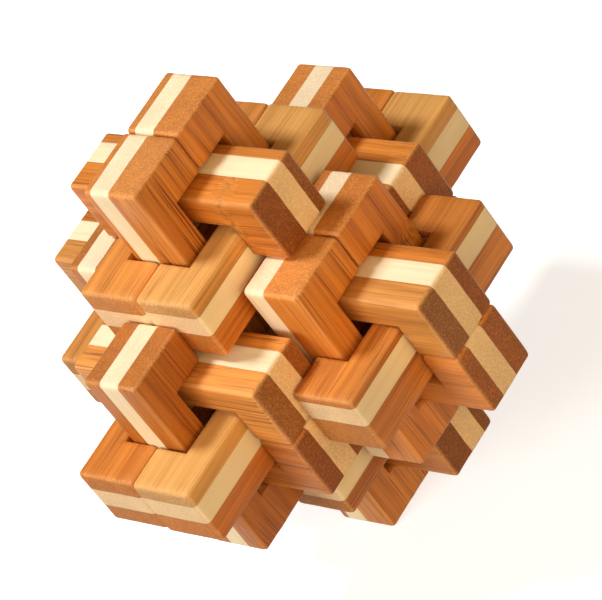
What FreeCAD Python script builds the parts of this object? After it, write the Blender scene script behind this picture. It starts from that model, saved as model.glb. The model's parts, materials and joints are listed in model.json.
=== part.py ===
# Twenty-four-stick wooden burr puzzle, millimetres, +Z up.
#
# Every stick is a U cut from three glued plies of bamboo.  Eight sticks lie along each of the
# three axes: a long pair through the centre, a short side pair on each side of it, and a short
# single stick beyond each end of that.  The origin is the centre of the puzzle, where the three
# long pairs nest in one another's notches.
import FreeCAD
import Part
import Sketcher
import os

DOC_NAME = "BurrPuzzle"
SHEET_NAME = "Sizes"
MIN_NOTCH_SHARE = 0.10

# Driving dimensions, and the ones worked out from them: alias, cell content.
CELLS = [
    ("ply_thickness", "4.3"),        # one of the three glued plies
    ("stick_width", "13.7"),         # across the stick, from its notched edge to its back
    ("seam_gap", "0.1"),             # between the two sticks of a pair
    ("notch_depth", "7.6"),          # cut in from the notched edge
    ("arm_length", "8.3"),           # what the notch leaves at each end
    ("short_length", "44.8"),        # side and single sticks
    ("long_length", "90"),           # the three central pairs
    ("side_offset", "21.7"),         # centre of the puzzle to the middle of a side pair
    ("single_clearance", "0.15"),    # single stick above the ends of the side sticks it faces
    ("edge_radius", "0.9"),          # sanded outer edges
    ("end_slip", "0.3"),             # how far a loose stick sits from its true place, endways
    ("notch_slip", "0.7"),           # and across the notches that it passes through
    ("stick_thickness", "=3 * ply_thickness"),
    ("pair_face", "=seam_gap / 2"),
    ("single_face", "=short_length / 2 + single_clearance"),
]

X = FreeCAD.Vector(1, 0, 0)
Y = FreeCAD.Vector(0, 1, 0)
Z = FreeCAD.Vector(0, 0, 1)

# Each family of eight is the one before it turned about the diagonal of the puzzle:
# name, direction of the sticks, direction across a pair, direction across the plies.
UPRIGHT = ("upright", Z, -Y, X)
CROSSWISE = ("crosswise", X, Z, -Y)
LENGTHWISE = ("lengthwise", -Y, X, Z)

# The words for the plus and minus side of each direction, by family.
PAIR_WORDS = {"upright": ("front", "rear"), "crosswise": ("upper", "lower"), "lengthwise": ("right", "left")}
SIDE_WORDS = {"upright": ("right", "left"), "crosswise": ("front", "rear"), "lengthwise": ("top", "bottom")}
KEY_NAME = "key_stick"
KEY_PLACE = "upright_long_rear"

# Loose sticks that sit a little off their true place: direction of the slip and its size.
SLIPS = {
    "lengthwise_long_left": (Y, "end_slip"),
    "lengthwise_single_right": (Z, "notch_slip"),
    "crosswise_single_top": (-X, "end_slip"),
    "upright_single_rear": (Z, "end_slip"),
}


def make_sheet(doc):
    """The spreadsheet that every size in the model is bound to."""
    sheet = doc.addObject("Spreadsheet::Sheet", SHEET_NAME)
    for row, (alias, content) in enumerate(CELLS, start=1):
        cell = "B%d" % row
        sheet.set("A%d" % row, alias)
        sheet.set(cell, content)
        sheet.setAlias(cell, alias)
    doc.recompute()
    return sheet


def outline_points(length, sheet, open_end):
    """Corners of a stick's outline, its length along x and its notched edge on y = 0."""
    end = length / 2
    inner = end - sheet.arm_length
    notch = sheet.notch_depth
    back = sheet.stick_width
    if open_end:
        return [(-end, notch), (inner, notch), (inner, 0), (end, 0), (end, back), (-end, back)]
    return [(-end, 0), (-inner, 0), (-inner, notch), (inner, notch),
            (inner, 0), (end, 0), (end, back), (-end, back)]


def bind_distance(sketch, kind, first, second, name, expression):
    """A signed distance between two corners of the sketch, bound to the sheet."""
    first_x, first_y = sketch.Geometry[first].StartPoint.x, sketch.Geometry[first].StartPoint.y
    second_x, second_y = sketch.Geometry[second].StartPoint.x, sketch.Geometry[second].StartPoint.y
    value = second_x - first_x if kind == "DistanceX" else second_y - first_y
    index = sketch.addConstraint(Sketcher.Constraint(kind, first, 1, second, 1, value))
    sketch.renameConstraint(index, name)
    sketch.setExpression("Constraints." + name, expression)


def draw_outline(sketch, points):
    """Closed outline of level and upright lines, joined end to end."""
    count = len(points)
    corners = [FreeCAD.Vector(x, y, 0) for x, y in points]
    for index in range(count):
        sketch.addGeometry(Part.LineSegment(corners[index], corners[(index + 1) % count]), False)
    for index in range(count):
        following = (index + 1) % count
        sketch.addConstraint(Sketcher.Constraint("Coincident", index, 2, following, 1))
        level = corners[index].y == corners[following].y
        sketch.addConstraint(Sketcher.Constraint("Horizontal" if level else "Vertical", index))


def constrain_outline(sketch, length_alias, open_end):
    """Ties the outline's sizes to the sheet and its middle to the sketch's origin."""
    sizes = SHEET_NAME + "."
    half = "%s%s / 2" % (sizes, length_alias)
    depth = sizes + "notch_depth"
    arm = sizes + "arm_length"
    width = sizes + "stick_width"
    if open_end:
        head_inner, head_outer, back_corner = 2, 3, 4
        bind_distance(sketch, "DistanceY", head_inner, 0, "NotchDepth", depth)
    else:
        head_inner, head_outer, back_corner = 4, 5, 6
        bind_distance(sketch, "DistanceY", 1, 2, "NotchDepth", depth)
        bind_distance(sketch, "DistanceX", 0, 1, "TailArm", arm)
        index = sketch.addConstraint(Sketcher.Constraint("PointOnObject", 1, 1, -1))
        sketch.renameConstraint(index, "TailEdge")
    bind_distance(sketch, "DistanceX", head_inner, head_outer, "HeadArm", arm)
    bind_distance(sketch, "DistanceY", head_outer, back_corner, "Width", width)
    bind_distance(sketch, "DistanceX", 0, head_outer, "Length", sizes + length_alias)
    index = sketch.addConstraint(Sketcher.Constraint("PointOnObject", head_outer, 1, -1))
    sketch.renameConstraint(index, "HeadEdge")
    value = sketch.Geometry[head_outer].StartPoint.x
    index = sketch.addConstraint(Sketcher.Constraint("DistanceX", -1, 1, head_outer, 1, value))
    sketch.renameConstraint(index, "HalfLength")
    sketch.setExpression("Constraints.HalfLength", half)


def origin_plane(body, role):
    """One of the body's own three origin planes."""
    return next(plane for plane in body.Origin.OriginFeatures if plane.Role == role)


def outer_edges(shape):
    """Names of the edges on the outside of the stick's box, which are the sanded ones."""
    box = shape.BoundBox
    near = 1e-6
    names = []
    for number, edge in enumerate(shape.Edges, start=1):
        middle = edge.BoundBox.Center
        sides = [abs(middle.x - box.XMin) < near or abs(middle.x - box.XMax) < near,
                 abs(middle.y - box.YMin) < near or abs(middle.y - box.YMax) < near,
                 abs(middle.z - box.ZMin) < near or abs(middle.z - box.ZMax) < near]
        if sides.count(True) == 2:
            names.append("Edge%d" % number)
    return names


def make_stick(doc, sheet, name, length_alias, open_end=False):
    """One notched stick: outline, pad across the plies, sanded edges."""
    body = doc.addObject("PartDesign::Body", name)
    body.Label = name
    sketch = body.newObject("Sketcher::SketchObject", name + "_outline")
    sketch.AttachmentSupport = [(origin_plane(body, "XY_Plane"), "")]
    sketch.MapMode = "FlatFace"
    length = getattr(sheet, length_alias)
    draw_outline(sketch, outline_points(length, sheet, open_end))
    constrain_outline(sketch, length_alias, open_end)
    pad = body.newObject("PartDesign::Pad", name + "_plies")
    pad.Profile = sketch
    pad.Midplane = True
    pad.setExpression("Length", SHEET_NAME + ".stick_thickness")
    doc.recompute()
    fillet = body.newObject("PartDesign::Fillet", name + "_sanding")
    fillet.Base = (pad, outer_edges(pad.Shape))
    fillet.setExpression("Radius", SHEET_NAME + ".edge_radius")
    body.Tip = fillet
    sketch.Visibility = False
    return body


def direction_terms(direction, expression):
    """The expression times each component of a direction that lies along one axis."""
    return ["%d * %s" % (round(part), expression) for part in direction]


def place_stick(body, family, pair_sign, face_alias, ply_expression):
    """Turns and moves a stick to its place, with its notched edge facing the puzzle's middle."""
    name, along, across, through = family
    out = across * pair_sign
    turn = FreeCAD.Rotation(along, out, along.cross(out), "XYZ")
    body.Placement = FreeCAD.Placement(FreeCAD.Vector(), turn)
    terms = direction_terms(out, "%s.%s" % (SHEET_NAME, face_alias))
    if ply_expression:
        more = direction_terms(through, ply_expression)
        terms = ["%s + %s" % pair for pair in zip(terms, more)]
    if body.Label in SLIPS:
        slip, alias = SLIPS[body.Label]
        more = direction_terms(slip, "%s.%s" % (SHEET_NAME, alias))
        terms = ["%s + %s" % pair for pair in zip(terms, more)]
    for axis, term in zip("xyz", terms):
        body.setExpression(".Placement.Base." + axis, term)


def make_family(doc, sheet, family):
    """The eight sticks that lie along one axis."""
    family_name = family[0]
    sticks = []
    for sign, pair_word in zip((1, -1), PAIR_WORDS[family_name]):
        place = "%s_long_%s" % (family_name, pair_word)
        is_key = place == KEY_PLACE
        stick = make_stick(doc, sheet, KEY_NAME if is_key else place, "long_length", open_end=is_key)
        place_stick(stick, family, sign, "pair_face", "")
        sticks.append(stick)
        for side_sign, side_word in zip((1, -1), SIDE_WORDS[family_name]):
            stick = make_stick(doc, sheet, "%s_side_%s_%s" % (family_name, side_word, pair_word), "short_length")
            place_stick(stick, family, sign, "pair_face", "%d * %s.side_offset" % (side_sign, SHEET_NAME))
            sticks.append(stick)
        single_word = {"upper": "top", "lower": "bottom"}.get(pair_word, pair_word)
        stick = make_stick(doc, sheet, "%s_single_%s" % (family_name, single_word), "short_length")
        place_stick(stick, family, sign, "single_face", "")
        sticks.append(stick)
    return sticks


def check_document(doc, sticks):
    """Stops before anything is written if a feature failed or a stick lost its notch."""
    for item in doc.Objects:
        if "Invalid" in item.State or "Error" in item.State:
            raise RuntimeError("%s failed: %s" % (item.Name, item.State))
    for stick in sticks:
        shape = stick.Shape
        if shape.isNull() or not shape.isValid() or len(shape.Solids) != 1:
            raise RuntimeError("%s is not one valid solid" % stick.Label)
        box = shape.BoundBox
        share = 1 - shape.Volume / (box.XLength * box.YLength * box.ZLength)
        if share < MIN_NOTCH_SHARE:
            raise RuntimeError("%s has no notch" % stick.Label)


def main():
    doc = FreeCAD.newDocument(DOC_NAME)
    sheet = make_sheet(doc)
    sticks = []
    for family in (UPRIGHT, CROSSWISE, LENGTHWISE):
        sticks.extend(make_family(doc, sheet, family))
    doc.recompute()
    check_document(doc, sticks)
    os.makedirs("parts", exist_ok=True)
    for stick in sticks:
        stick.Shape.exportStep("parts/%s.step" % stick.Label)
        centre = stick.Shape.BoundBox.Center
        print("%-32s volume %8.1f  centre %6.2f %6.2f %6.2f"
              % (stick.Label, stick.Shape.Volume, centre.x, centre.y, centre.z))


main()
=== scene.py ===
# Looks for the twenty-four-stick burr puzzle: each stick gets a detailed mesh with sanded edges and
# a material of three glued bamboo plies, on a plain pale floor in soft light.
import json
import math
import random
from collections import namedtuple

import bmesh
import bpy
from mathutils import Matrix, Vector, noise


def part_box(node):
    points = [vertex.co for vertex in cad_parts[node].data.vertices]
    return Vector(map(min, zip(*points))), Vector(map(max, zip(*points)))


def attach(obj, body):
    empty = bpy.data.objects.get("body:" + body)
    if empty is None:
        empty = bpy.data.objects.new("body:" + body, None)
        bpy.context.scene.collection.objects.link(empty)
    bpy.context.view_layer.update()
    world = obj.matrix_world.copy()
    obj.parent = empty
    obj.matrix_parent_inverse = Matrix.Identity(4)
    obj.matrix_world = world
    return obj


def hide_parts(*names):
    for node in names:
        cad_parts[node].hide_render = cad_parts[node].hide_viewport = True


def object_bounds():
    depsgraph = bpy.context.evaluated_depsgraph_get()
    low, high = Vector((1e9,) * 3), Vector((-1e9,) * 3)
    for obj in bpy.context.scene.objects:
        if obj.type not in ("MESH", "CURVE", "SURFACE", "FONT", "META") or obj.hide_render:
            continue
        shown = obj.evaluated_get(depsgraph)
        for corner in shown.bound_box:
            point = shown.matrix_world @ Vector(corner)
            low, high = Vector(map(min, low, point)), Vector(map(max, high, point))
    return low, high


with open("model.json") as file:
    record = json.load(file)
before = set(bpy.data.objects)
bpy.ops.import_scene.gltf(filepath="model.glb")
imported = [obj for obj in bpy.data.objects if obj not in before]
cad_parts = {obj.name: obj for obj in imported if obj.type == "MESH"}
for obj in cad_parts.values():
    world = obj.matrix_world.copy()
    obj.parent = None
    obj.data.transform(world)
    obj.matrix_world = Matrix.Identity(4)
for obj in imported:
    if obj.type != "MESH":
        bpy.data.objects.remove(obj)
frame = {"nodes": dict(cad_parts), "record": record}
cad_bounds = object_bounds()

# Sticks, in metres ---------------------------------------------------------------------------
NOTCH_DEPTH = 0.0076
ARM_LENGTH = 0.0083
SANDED_RADIUS = 0.0009
SANDED_SEGMENTS = 4
NOTCH_RADIUS = 0.00022
NOTCH_SEGMENTS = 2
NOTCH_ANGLE = math.radians(60)
CUT_SPACING = 0.0011
TOUCHING = 1e-6
WELD = 1e-7
STICK_SEED = 24

# Sanding: how deep it goes on the faces and on the edges, how far a normal leans where an edge
# begins and where it is fully round, and the noise frequencies per metre.
SURFACE_WAVER = 0.00005
EDGE_WEAR = 0.00016
EDGE_BEGINS = 0.985
EDGE_ROUND = 0.785
BROAD_FREQUENCY = 130
LOCAL_FREQUENCY = 420
NOISE_SHIFT = (7.31, 3.17, 5.53)

X = Vector((1, 0, 0))
Y = Vector((0, 1, 0))
Z = Vector((0, 0, 1))

# Family: direction of its sticks, across a pair, through the plies.
FAMILIES = {
    "upright": (Z, -Y, X),
    "crosswise": (X, Z, -Y),
    "lengthwise": (-Y, X, Z),
}
KEY = "key_stick"
KEY_FAMILY = "upright"

# A stick's own look: where its pale ply starts, as a share of the thickness from the low side,
# how tan rather than caramel its low and high plies are, its brightness, and its streaking.
Look = namedtuple("Look", "pale_start low_tan high_tan brightness streaking")
PALE_SHARE = 0.35
LOOKS = {
    "upright_long_front": (0.15, 0.0, 0.2, 1.00, 0.75),
    "key_stick": (0.18, 0.1, 0.1, 0.97, 0.5),
    "upright_side_right_front": (0.05, 0.0, 0.1, 1.12, 0.6),
    "upright_side_right_rear": (0.20, 0.0, 0.0, 0.98, 0.7),
    "upright_side_left_front": (0.20, 0.0, 0.0, 0.78, 0.6),
    "upright_single_front": (0.33, 0.0, 0.0, 0.76, 0.75),
    "upright_single_rear": (0.37, 0.1, 0.1, 1.02, 0.6),
    "crosswise_long_upper": (0.27, 0.0, 0.5, 0.94, 0.5),
    "crosswise_long_lower": (0.38, 0.1, 0.1, 1.15, 0.4),
    "crosswise_side_front_upper": (0.26, 0.2, 0.4, 1.12, 0.6),
    "crosswise_side_front_lower": (0.32, 0.0, 0.0, 0.90, 0.7),
    "crosswise_side_rear_upper": (0.42, 0.1, 0.1, 1.08, 0.6),
    "crosswise_single_top": (0.20, 0.2, 0.0, 0.97, 0.4),
    "crosswise_single_bottom": (0.22, 0.1, 0.1, 0.85, 0.6),
    "lengthwise_long_right": (0.40, 0.0, 1.0, 1.00, 0.15),
    "lengthwise_side_top_right": (0.42, 0.0, 0.9, 1.01, 0.30),
    "lengthwise_side_top_left": (0.32, 0.1, 0.3, 1.02, 0.35),
    "lengthwise_side_bottom_right": (0.30, 0.1, 0.2, 0.78, 0.6),
    "lengthwise_single_right": (0.52, 0.2, 0.1, 0.94, 0.5),
    "lengthwise_single_left": (0.33, 0.2, 0.5, 0.92, 0.5),
    "lengthwise_long_left": (0.34, 0.1, 0.0, 0.93, 0.35),
}

# Where a growth ring of the bamboo crosses an outer ply: mm along the stick, and which ply.
RINGS = {
    "crosswise_single_top": (14.5, "high"),
    "upright_side_right_rear": (-9.0, "high"),
    "lengthwise_long_left": (31.0, "high"),
    "crosswise_side_rear_lower": (6.0, "low"),
    "upright_side_left_rear": (-5.0, "low"),
    "lengthwise_single_left": (13.0, "high"),
}

# Linear colours of the plies and of what marks them.
CARAMEL_LIGHT = (0.82, 0.280, 0.035)
CARAMEL_DARK = (0.44, 0.114, 0.011)
TAN_LIGHT = (0.80, 0.43, 0.125)
TAN_DARK = (0.60, 0.27, 0.062)
PALE_LIGHT = (0.99, 0.84, 0.56)
PALE_DARK = (0.94, 0.70, 0.40)
PORE = (0.19, 0.040, 0.008)
RING_GLOW = (0.90, 0.42, 0.10)
# Colours of the lighter rounded edges: partly sanding wear, partly a painted highlight.
RUBBED_BROWN_AND_HIGHLIGHT = (0.88, 0.50, 0.22)
RUBBED_PALE_AND_HIGHLIGHT = (0.92, 0.76, 0.55)

# What the cut ends of a family's sticks do to the colour: tint of the brown plies, tint of the pale
# ply, and how strongly the fibre tips stand out. Each family's ends face one way, so on top of the
# real darkening of end grain the brown tint paints shade and light: the crosswise ends, on the shaded
# side, are painted darker, and the upright and lengthwise ends, facing the top and front lights, are
# painted lighter.
END_TINT_AND_SHADE = {
    "upright": ((0.98, 1.03, 1.36), (0.90, 0.87, 0.90), 0.32),
    "lengthwise": ((0.91, 0.95, 1.20), (0.87, 0.74, 0.64), 0.32),
    "crosswise": ((0.57, 0.52, 0.53), (0.93, 0.79, 0.67), 0.52),
}

# Noise frequencies per mm, along the stick, across it and through its plies. Fibres are long
# threads, so theirs are low along the stick.
FINE_FIBRES = (0.030, 4.2, 4.2)
FIBRE_BUNDLES = (0.016, 1.5, 1.5)
BROAD_BANDS = (0.009, 0.42, 0.42)
CLOUDS = (0.045, 0.14, 0.14)
PORE_LINES = (0.020, 3.0, 3.0)
PORE_PATCHES = (0.05, 0.35, 0.35)
SPECKS = (0.10, 5.2, 5.2)
FIBRE_TIPS = (0.02, 2.2, 2.2)
GLUE_WAVES = (0.05, 0.25, 0.0)
SWAY_WAVES = (0.035, 0.05, 0.05)
RING_RAGS = (0.3, 0.8, 0.8)
RING_BLOTCHES = (0.7, 1.1, 1.1)

# Lengths inside a stick's material, in mm, apart from the relief of its surface, in metres.
RELIEF_DEPTH = 0.00007
MM_PER_M = 1000.0
GLUE_SWING = 0.12
GLUE_BLUR = 0.06
GLUE_REACH = 0.12
GLUE_CORE = 0.02
SWAY_REACH = 1.6
RING_RAGGEDNESS = 3.2
RING_REACH = 3.0
SCAR_REACH = 0.8
SCAR_CORE = 0.1
RING_PUSH = (0.5, 0.3)

# How far the fibre pattern jumps from one ply to the next, and from one stick to the next.
PLY_NUMBER = 2.3
PLY_JUMP = (13.7, 31.1, 17.9)
STICK_JUMP = (1.9, 5.3, 3.7)


def family_of(node):
    """The family that a node belongs to, by the first word of its name."""
    return KEY_FAMILY if node == KEY else node.split("_")[0]


def extent(low, high, direction):
    """Ends of a box along a direction that lies along one axis."""
    ends = sorted((low.dot(direction), high.dot(direction)))
    return ends[0], ends[1]


def stick_frame(node):
    """The stick's own axes in the puzzle's frame, and its length, width and thickness.

    Local x runs along the stick, y from the notched edge to the back, z through the plies.
    """
    along, across, through = FAMILIES[family_of(node)]
    low, high = (Vector(corner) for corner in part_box(node))
    across_low, across_high = extent(low, high, across)
    out = across if across_low + across_high > 0 else -across
    along = out.cross(through)
    centre = (low + high) / 2
    length_low, length_high = extent(low, high, along)
    through_low, through_high = extent(low, high, through)
    width = across_high - across_low
    origin = centre - out * (width / 2)
    matrix = Matrix((along, out, through)).transposed().to_4x4()
    matrix.translation = origin
    return matrix, length_high - length_low, width, through_high - through_low


def outline(length, width, open_end):
    """Corners of the U, or of the key's L with its head at the low end of x."""
    end = length / 2
    inner = end - ARM_LENGTH
    corners = [(-end, 0), (-inner, 0), (-inner, NOTCH_DEPTH)]
    if open_end:
        corners += [(end, NOTCH_DEPTH)]
    else:
        corners += [(inner, NOTCH_DEPTH), (inner, 0), (end, 0)]
    return corners + [(end, width), (-end, width)]


def is_outer(edge, length, width, thickness):
    """True if an edge lies on two sides of the stick's box, which is where it is sanded."""
    middle = (edge.verts[0].co + edge.verts[1].co) / 2
    sides = [
        abs(abs(middle.x) - length / 2) < TOUCHING,
        abs(middle.y) < TOUCHING or abs(middle.y - width) < TOUCHING,
        abs(abs(middle.z) - thickness / 2) < TOUCHING,
    ]
    return sides.count(True) == 2


def round_edges(bm, edges, radius, segments):
    """Turn sharp edges into round ones."""
    bmesh.ops.bevel(bm, geom=edges, offset=radius, offset_type="OFFSET", profile=0.5,
                    segments=segments, affect="EDGES", clamp_overlap=True)


def cut_evenly(bm, axis, low, high):
    """Loops across the mesh at an even spacing, so that it can be shaped between its edges."""
    count = max(2, round((high - low) / CUT_SPACING))
    for step in range(1, count):
        place = axis * (low + (high - low) * step / count)
        geometry = bm.verts[:] + bm.edges[:] + bm.faces[:]
        bmesh.ops.bisect_plane(bm, geom=geometry, dist=WELD, plane_co=place, plane_no=axis)


def build_blank(length, width, thickness, open_end):
    """The shape that all sticks of one kind share: outline, thickness, sanded and notch edges."""
    bm = bmesh.new()
    corners = [bm.verts.new((x, y, -thickness / 2)) for x, y in outline(length, width, open_end)]
    face = bm.faces.new(corners)
    raised = bmesh.ops.extrude_face_region(bm, geom=[face])["geom"]
    for item in raised:
        if isinstance(item, bmesh.types.BMVert):
            item.co.z = thickness / 2
    bmesh.ops.recalc_face_normals(bm, faces=bm.faces[:])
    outer = [edge for edge in bm.edges if is_outer(edge, length, width, thickness)]
    round_edges(bm, outer, SANDED_RADIUS, SANDED_SEGMENTS)
    sharp = [edge for edge in bm.edges
             if len(edge.link_faces) == 2 and edge.calc_face_angle() > NOTCH_ANGLE]
    round_edges(bm, sharp, NOTCH_RADIUS, NOTCH_SEGMENTS)
    cut_evenly(bm, X, -length / 2 + SANDED_RADIUS, length / 2 - SANDED_RADIUS)
    cut_evenly(bm, Y, SANDED_RADIUS, width - SANDED_RADIUS)
    cut_evenly(bm, Z, -thickness / 2 + SANDED_RADIUS, thickness / 2 - SANDED_RADIUS)
    return bm


def wear(bm, seed):
    """Hand sanding: faces waver a little, and the rounded edges are cut back unevenly."""
    shift = Vector([seed * part for part in NOISE_SHIFT])
    bm.normal_update()
    for vert in bm.verts:
        normal = vert.normal
        largest = max(abs(normal.x), abs(normal.y), abs(normal.z))
        roundness = (EDGE_BEGINS - largest) / (EDGE_BEGINS - EDGE_ROUND)
        roundness = min(1.0, max(0.0, roundness))
        broad = noise.noise(vert.co * BROAD_FREQUENCY + shift)
        local = noise.noise(vert.co * LOCAL_FREQUENCY - shift)
        inset = SURFACE_WAVER * (0.5 + 0.5 * broad)
        inset += EDGE_WEAR * roundness * max(0.0, 0.35 + 0.5 * broad + 0.4 * local)
        vert.co -= normal * inset


# Node helpers --------------------------------------------------------------------------------
class Nodes:
    """Short calls for building one material's node tree."""

    def __init__(self, material):
        material.use_nodes = True
        self.tree = material.node_tree
        self.tree.nodes.clear()

    def add(self, kind, **settings):
        node = self.tree.nodes.new(kind)
        for name, value in settings.items():
            setattr(node, name, value)
        return node

    def plug(self, value, socket):
        """Link a socket to another one, or set it to a number or colour."""
        if isinstance(value, bpy.types.NodeSocket):
            self.tree.links.new(value, socket)
        else:
            socket.default_value = value

    def math(self, operation, first, second=0.0, third=0.0, clamp=False):
        node = self.add("ShaderNodeMath", operation=operation, use_clamp=clamp)
        for value, socket in zip((first, second, third), node.inputs):
            self.plug(value, socket)
        return node.outputs[0]

    def inverse(self, value):
        return self.math("SUBTRACT", 1.0, value)

    def step(self, value, low, high):
        """0 below low, 1 above high, smooth between; low may be the greater."""
        node = self.add("ShaderNodeMapRange", interpolation_type="SMOOTHSTEP")
        for item, socket in zip((value, low, high, 0.0, 1.0), node.inputs):
            self.plug(item, socket)
        return node.outputs[0]

    def vector(self, *parts):
        node = self.add("ShaderNodeCombineXYZ")
        for value, socket in zip(parts, node.inputs):
            self.plug(value, socket)
        return node.outputs[0]

    def parts(self, vector):
        node = self.add("ShaderNodeSeparateXYZ")
        self.plug(vector, node.inputs[0])
        return node.outputs[:3]

    def scaled(self, vector, factors, shift=(0.0, 0.0, 0.0)):
        node = self.add("ShaderNodeVectorMath", operation="MULTIPLY_ADD")
        self.plug(vector, node.inputs[0])
        node.inputs[1].default_value = factors
        self.plug(shift, node.inputs[2])
        return node.outputs[0]

    def moved(self, vector, shift):
        node = self.add("ShaderNodeVectorMath", operation="ADD")
        self.plug(vector, node.inputs[0])
        self.plug(shift, node.inputs[1])
        return node.outputs[0]

    def noise(self, vector, detail=2.0, roughness=0.5, output="Fac"):
        node = self.add("ShaderNodeTexNoise")
        self.plug(vector, node.inputs["Vector"])
        node.inputs["Scale"].default_value = 1.0
        node.inputs["Detail"].default_value = detail
        node.inputs["Roughness"].default_value = roughness
        return node.outputs[output]

    def cells(self, vector):
        """Distance to the middle of the nearest cell."""
        node = self.add("ShaderNodeTexVoronoi", feature="F1")
        self.plug(vector, node.inputs["Vector"])
        node.inputs["Scale"].default_value = 1.0
        return node.outputs["Distance"]

    def mix(self, factor, first, second, blend="MIX"):
        node = self.add("ShaderNodeMix", data_type="RGBA", blend_type=blend)
        self.plug(factor, node.inputs["Factor"])
        for value, socket in ((first, node.inputs[6]), (second, node.inputs[7])):
            self.plug(value + (1.0,) if isinstance(value, tuple) else value, socket)
        return node.outputs[2]

    def tinted(self, colour, tint):
        return self.mix(1.0, colour, tint, "MULTIPLY")

    def brightened(self, colour, amount):
        """The colour times a number that varies over the surface."""
        node = self.add("ShaderNodeCombineColor")
        for socket in node.inputs[:3]:
            self.plug(amount, socket)
        return self.tinted(colour, node.outputs[0])


# Bamboo --------------------------------------------------------------------------------------
Plies = namedtuple("Plies", "past_low past_high pale glue")


def find_plies(nodes, place, through, pale_start, thickness, seed):
    """Which ply a point is in, and whether it is on a glue line. The glue faces waver a little."""
    pale_low = (pale_start - 0.5) * thickness
    pale_high = (pale_start + PALE_SHARE - 0.5) * thickness
    waver = nodes.noise(nodes.scaled(place, GLUE_WAVES, (seed, seed, seed)), detail=1.0)
    lowest = nodes.math("SUBTRACT", through, GLUE_SWING)
    depth = nodes.math("MULTIPLY_ADD", waver, 2 * GLUE_SWING, lowest)
    past_low, past_high = (nodes.step(depth, face - GLUE_BLUR, face + GLUE_BLUR)
                           for face in (pale_low, pale_high))
    gaps = [nodes.math("ABSOLUTE", nodes.math("SUBTRACT", depth, face))
            for face in (pale_low, pale_high)]
    glue = nodes.math("MAXIMUM", *(nodes.step(gap, GLUE_REACH, GLUE_CORE) for gap in gaps))
    return Plies(past_low, past_high, nodes.math("SUBTRACT", past_low, past_high), glue)


def lay_fibres(nodes, place, plies, seed):
    """Where a point is among the fibres, which sway a little and differ from ply to ply."""
    ply = nodes.math("MULTIPLY_ADD", plies.past_high, PLY_NUMBER, plies.past_low)
    jump = nodes.vector(*(nodes.math("MULTIPLY_ADD", ply, by_ply, seed * by_stick)
                          for by_ply, by_stick in zip(PLY_JUMP, STICK_JUMP)))
    sway = nodes.noise(nodes.scaled(place, SWAY_WAVES, (seed, 0.0, 0.0)), detail=1.0,
                       output="Color")
    return nodes.scaled(sway, (0.0, SWAY_REACH, SWAY_REACH), nodes.moved(place, jump))


def cross_ring(nodes, place, along, plies, ring, seed):
    """A growth ring, a narrow ragged band across one ply: how far fibres swerve, and its scar."""
    ring_place, ring_ply = ring
    ragged = nodes.noise(nodes.scaled(place, RING_RAGS, (seed, 0.0, seed)))
    offset = nodes.math("SUBTRACT", along, ring_place + RING_RAGGEDNESS / 2)
    distance = nodes.math("ABSOLUTE", nodes.math("MULTIPLY_ADD", ragged, RING_RAGGEDNESS, offset))
    in_ply = plies.past_high if ring_ply == "high" else nodes.inverse(plies.past_low)
    swerve = nodes.math("MULTIPLY", nodes.step(distance, RING_REACH, 0.0), in_ply)
    scar = nodes.math("MULTIPLY", nodes.step(distance, SCAR_REACH, SCAR_CORE), in_ply)
    return swerve, scar


def fibre_tone(nodes, grain, fine, end):
    """0 in the dark fibres and 1 in the light ones, but more even on the cut ends."""
    bundles = nodes.noise(nodes.scaled(grain, FIBRE_BUNDLES), roughness=0.55)
    bands = nodes.noise(nodes.scaled(grain, BROAD_BANDS), detail=1.0)
    tone = nodes.math("MULTIPLY", nodes.step(bundles, 0.30, 0.68), 0.36)
    tone = nodes.math("MULTIPLY_ADD", nodes.step(fine, 0.30, 0.70), 0.34, tone)
    tone = nodes.math("MULTIPLY_ADD", nodes.step(bands, 0.32, 0.66), 0.34, tone, clamp=True)
    evened = nodes.math("MULTIPLY", end, 0.65)
    return nodes.math("MULTIPLY_ADD", nodes.math("SUBTRACT", 0.55, tone), evened, tone)


def between(first, second, share, brightness):
    """A colour between two colours, brightened or darkened."""
    return tuple((a + (b - a) * share) * brightness for a, b in zip(first, second))


def ply_colour(nodes, grain, plies, tone, look):
    """The colour of the wood itself: brown, pale or brown, by ply."""
    low_ply, high_ply = (
        nodes.mix(tone, between(CARAMEL_DARK, TAN_DARK, tan, look.brightness),
                  between(CARAMEL_LIGHT, TAN_LIGHT, tan, look.brightness))
        for tan in (look.low_tan, look.high_tan))
    cream = nodes.mix(nodes.math("MULTIPLY_ADD", tone, 0.70, 0.30), PALE_DARK, PALE_LIGHT)
    colour = nodes.mix(plies.past_high, nodes.mix(plies.past_low, low_ply, cream), high_ply)
    cloud = nodes.noise(nodes.scaled(grain, CLOUDS))
    return nodes.brightened(colour, nodes.math("MULTIPLY_ADD", cloud, 0.36, 0.82))


def open_pores(nodes, grain, plies, end):
    """Thin dark lines that come and go along the brown plies' sides."""
    thread = nodes.noise(nodes.scaled(grain, PORE_LINES, (40.0, 0.0, 0.0)), detail=1.0)
    patch = nodes.noise(nodes.scaled(grain, PORE_PATCHES, (0.0, 60.0, 0.0)), detail=1.0)
    pore = nodes.math("MULTIPLY", nodes.step(thread, 0.54, 0.64), nodes.step(patch, 0.34, 0.60))
    brown = nodes.inverse(nodes.math("MULTIPLY", plies.pale, 0.86))
    return nodes.math("MULTIPLY", nodes.math("MULTIPLY", pore, brown), nodes.inverse(end))


def mark_ring(nodes, colour, place, swerve, scar, seed):
    """The ring's blotchy dark line, with lighter wood on either side of it."""
    blotches = nodes.noise(nodes.scaled(place, RING_BLOTCHES, (0.0, seed, 0.0)))
    dark = nodes.math("MULTIPLY", scar, nodes.step(blotches, 0.42, 0.62))
    colour = nodes.mix(nodes.math("MULTIPLY", dark, 0.7), colour, PORE)
    return nodes.mix(nodes.math("MULTIPLY", swerve, 0.16), colour, RING_GLOW)


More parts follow.
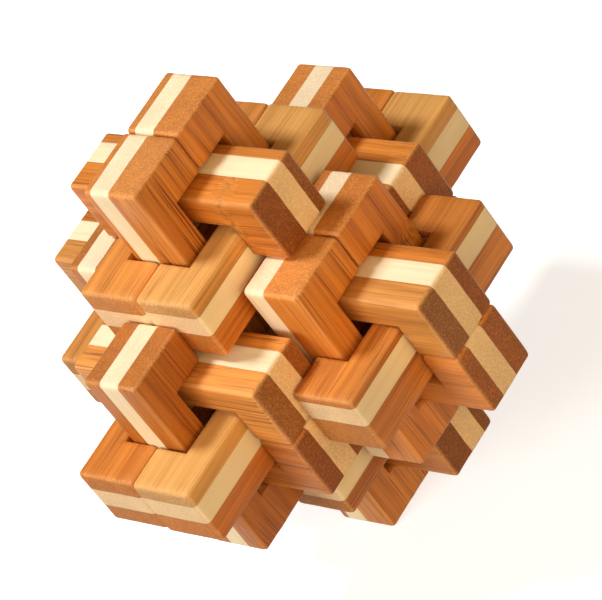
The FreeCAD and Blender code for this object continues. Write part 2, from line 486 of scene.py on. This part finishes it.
def cut_end(nodes, colour, grain, speck, pale, end_tint_and_shade):
    """The colour of a cut end: the finish sinks in, the family tint paints shade on the crosswise
    ends and light on the upright and lengthwise ends, and the fibre tips show as light specks.
    """
    brown_tint_and_shade, pale_tint, contrast = end_tint_and_shade
    # Family tint: real darker end grain, plus painted shade on crosswise ends and painted light on
    # upright and lengthwise ends.
    colour = nodes.tinted(colour, nodes.mix(pale, brown_tint_and_shade, pale_tint))
    tips = nodes.cells(nodes.scaled(grain, FIBRE_TIPS))
    grit = nodes.math("MULTIPLY", nodes.step(tips, 0.22, 0.55), 0.75 * contrast)
    grit = nodes.math("MULTIPLY_ADD", nodes.step(speck, 0.40, 0.62), 0.70 * contrast, grit)
    grit = nodes.math("MULTIPLY", grit, nodes.math("MULTIPLY_ADD", pale, -0.45, 1.0))
    return nodes.brightened(colour, nodes.math("SUBTRACT", 1.04 + 0.60 * contrast, grit))


def rub_and_highlight_edges(nodes, colour, faces, fine, pale):
    """Rounded edges made lighter: partly sanding wear, partly a painted highlight of light catching
    the rounded edges.
    """
    largest = nodes.math("MAXIMUM", faces[0], nodes.math("MAXIMUM", faces[1], faces[2]))
    rounded = nodes.step(largest, 0.97, 0.80)
    strength = nodes.math("MULTIPLY_ADD", fine, 0.50, -0.02, clamp=True)
    rub_and_highlight = nodes.math("MULTIPLY", rounded, strength)
    return nodes.mix(rub_and_highlight, colour, nodes.mix(pale, RUBBED_BROWN_AND_HIGHLIGHT, RUBBED_PALE_AND_HIGHLIGHT))


def varnish(nodes, colour, fine, pore, glue, speck, end):
    """The surface: a thin satin finish, rougher on the ends, with pores and glue lines sunk in."""
    shader = nodes.add("ShaderNodeBsdfPrincipled")
    nodes.plug(colour, shader.inputs["Base Color"])
    rough = nodes.math("MULTIPLY_ADD", fine, 0.18, nodes.math("MULTIPLY_ADD", end, 0.18, 0.38))
    nodes.plug(rough, shader.inputs["Roughness"])
    shader.inputs["Specular IOR Level"].default_value = 0.28
    relief = nodes.math("MULTIPLY_ADD", pore, -1.0, nodes.math("MULTIPLY", fine, 0.6))
    relief = nodes.math("MULTIPLY_ADD", glue, -0.5, relief)
    relief = nodes.math("MULTIPLY_ADD", nodes.math("MULTIPLY", speck, end), -1.6, relief)
    bump = nodes.add("ShaderNodeBump")
    bump.inputs["Strength"].default_value = 0.6
    bump.inputs["Distance"].default_value = RELIEF_DEPTH
    nodes.plug(relief, bump.inputs["Height"])
    nodes.plug(bump.outputs[0], shader.inputs["Normal"])
    output = nodes.add("ShaderNodeOutputMaterial")
    nodes.plug(shader.outputs[0], output.inputs[0])


def bamboo(name, look, ring, thickness, end_tint_and_shade, seed):
    """Three glued plies of bamboo, worked out in mm of the stick's own axes."""
    material = bpy.data.materials.new(name)
    nodes = Nodes(material)
    coordinates = nodes.add("ShaderNodeTexCoord")
    place = nodes.scaled(coordinates.outputs["Object"], (MM_PER_M, MM_PER_M, MM_PER_M))
    along, _, through = nodes.parts(place)
    faces = [nodes.math("ABSOLUTE", part) for part in nodes.parts(coordinates.outputs["Normal"])]
    end = nodes.step(faces[0], 0.60, 0.80)
    plies = find_plies(nodes, place, through, look.pale_start, thickness, seed)
    grain = lay_fibres(nodes, place, plies, seed)
    if ring:
        swerve, scar = cross_ring(nodes, place, along, plies, ring, seed)
        push = nodes.vector(0.0, *(nodes.math("MULTIPLY", swerve, by) for by in RING_PUSH))
        grain = nodes.moved(grain, push)
    fine = nodes.noise(nodes.scaled(grain, FINE_FIBRES), roughness=0.65)
    speck = nodes.noise(nodes.scaled(grain, SPECKS), detail=3.0, roughness=0.7)
    pore = open_pores(nodes, grain, plies, end)
    tone = fibre_tone(nodes, grain, fine, end)
    colour = ply_colour(nodes, grain, plies, tone, look)
    colour = nodes.mix(nodes.math("MULTIPLY", pore, look.streaking), colour, PORE)
    if ring:
        colour = mark_ring(nodes, colour, place, swerve, scar, seed)
    end_colour = cut_end(nodes, colour, grain, speck, plies.pale, end_tint_and_shade)
    colour = nodes.mix(end, colour, end_colour)
    colour = nodes.mix(nodes.math("MULTIPLY", plies.glue, 0.22), colour, PORE)
    # Rounded edges lighter: sanding wear plus a painted highlight.
    colour = rub_and_highlight_edges(nodes, colour, faces, fine, plies.pale)
    varnish(nodes, colour, fine, pore, plies.glue, speck, end)
    return material


def make_sticks():
    """One detailed stick in place of each CAD node, riding on the node's body."""
    members = frame["record"]["behaviour"]["bodies"]
    body_of = {node: body for body, nodes in members.items() for node in nodes}
    rng = random.Random(STICK_SEED)
    blanks = {}
    for index, node in enumerate(sorted(frame["nodes"])):
        matrix, length, width, thickness = stick_frame(node)
        kind = (round(length, 5), node == KEY)
        if kind not in blanks:
            blanks[kind] = build_blank(length, width, thickness, node == KEY)
        bm = blanks[kind].copy()
        seed = index + rng.random()
        wear(bm, seed)
        mesh = bpy.data.meshes.new(node + "_bamboo")
        bm.to_mesh(mesh)
        bm.free()
        mesh.shade_smooth()
        stick = bpy.data.objects.new(node + "_bamboo", mesh)
        bpy.context.scene.collection.objects.link(stick)
        stick.matrix_world = matrix
        spare = (rng.choice((0.20, 0.33, 0.42)), rng.uniform(0.0, 0.4), rng.uniform(0.0, 0.4),
                 rng.uniform(0.92, 1.06), rng.uniform(0.4, 0.8))
        look = Look(*LOOKS.get(node, spare))
        # The family's end tint also carries painted shade on crosswise ends and painted light on
        # upright and lengthwise ends.
        material = bamboo("bamboo_" + node, look, RINGS.get(node), thickness * MM_PER_M,
                          END_TINT_AND_SHADE[family_of(node)], seed)
        mesh.materials.append(material)
        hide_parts(node)
        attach(stick, body_of[node])
    for blank in blanks.values():
        blank.free()


# Stage, light and camera ---------------------------------------------------------------------
CAMERA_AZIMUTH = 59.94
CAMERA_ELEVATION = 36.15
CAMERA_ROLL = 37.75
CAMERA_DISTANCE = 0.640
CAMERA_LENS = 220.2
AIM = Vector((0.00203, 0.00222, -0.00088))
FLOOR_SIZE = 6.0
FLOOR_GREY = (0.62, 0.62, 0.62, 1.0)
FLOOR_GLOW = 0.70

# Square lights that face the puzzle: direction from it, side, power and colour.
LIGHT_DISTANCE = 1.1
LIGHTS = {
    "top_light": ((-0.36, -0.08, 0.93), 0.20, 10.0, (0.88, 0.91, 0.95)),
    "left_light": ((-0.25, -0.88, 0.40), 0.50, 7.0, (0.90, 0.92, 0.95)),
    "side_light": ((0.94, -0.18, 0.28), 0.9, 5.6, (1.0, 0.74, 0.42)),
    "front_light": ((0.60, -0.66, 0.45), 1.0, 3.2, (1.0, 0.76, 0.44)),
}
AMBIENT_COLOUR = (1.0, 0.74, 0.42, 1.0)
AMBIENT_STRENGTH = 0.15


def make_floor(height):
    """A wide pale table, lit a little from within, under the two sticks that the puzzle stands on."""
    bpy.ops.mesh.primitive_plane_add(size=FLOOR_SIZE, location=(0, 0, height))
    floor = bpy.context.object
    floor.name = "floor"
    material = bpy.data.materials.new("pale_table")
    nodes = Nodes(material)
    shader = nodes.add("ShaderNodeBsdfPrincipled")
    shader.inputs["Base Color"].default_value = FLOOR_GREY
    shader.inputs["Roughness"].default_value = 0.9
    shader.inputs["Emission Color"].default_value = (1.0, 1.0, 1.0, 1.0)
    shader.inputs["Emission Strength"].default_value = FLOOR_GLOW
    output = nodes.add("ShaderNodeOutputMaterial")
    nodes.plug(shader.outputs[0], output.inputs[0])
    floor.data.materials.append(material)
    floor.visible_diffuse = False


def make_light(name, direction, size, power, colour):
    """A soft square light that faces the puzzle from a direction."""
    data = bpy.data.lights.new(name, "AREA")
    data.shape = "SQUARE"
    data.size = size
    data.energy = power
    data.color = colour
    light = bpy.data.objects.new(name, data)
    back = Vector(direction).normalized()
    light.location = back * LIGHT_DISTANCE
    light.rotation_mode = "QUATERNION"
    light.rotation_quaternion = (-back).to_track_quat("-Z", "Y")
    bpy.context.scene.collection.objects.link(light)


def make_camera():
    """The camera, by where it stands round the puzzle and how far it leans."""
    azimuth = math.radians(CAMERA_AZIMUTH)
    elevation = math.radians(CAMERA_ELEVATION)
    back = Vector((math.sin(azimuth) * math.cos(elevation),
                   -math.cos(azimuth) * math.cos(elevation),
                   math.sin(elevation)))
    data = bpy.data.cameras.new("camera")
    data.lens = CAMERA_LENS
    camera = bpy.data.objects.new("camera", data)
    bpy.context.scene.collection.objects.link(camera)
    upright = (-back).to_track_quat("-Z", "Y").to_matrix()
    lean = Matrix.Rotation(math.radians(-CAMERA_ROLL), 3, "Z")
    camera.matrix_world = (upright @ lean).to_4x4()
    camera.location = AIM + back * CAMERA_DISTANCE
    bpy.context.scene.camera = camera


def make_world():
    """A weak warm light from all round."""
    world = bpy.data.worlds.new("studio")
    bpy.context.scene.world = world
    world.use_nodes = True
    background = world.node_tree.nodes["Background"]
    background.inputs["Color"].default_value = AMBIENT_COLOUR
    background.inputs["Strength"].default_value = AMBIENT_STRENGTH


make_sticks()
make_floor(cad_bounds[0].z)
for light_name, light_settings in LIGHTS.items():
    make_light(light_name, *light_settings)
make_world()
make_camera()
bpy.context.scene.view_settings.view_transform = "Standard"
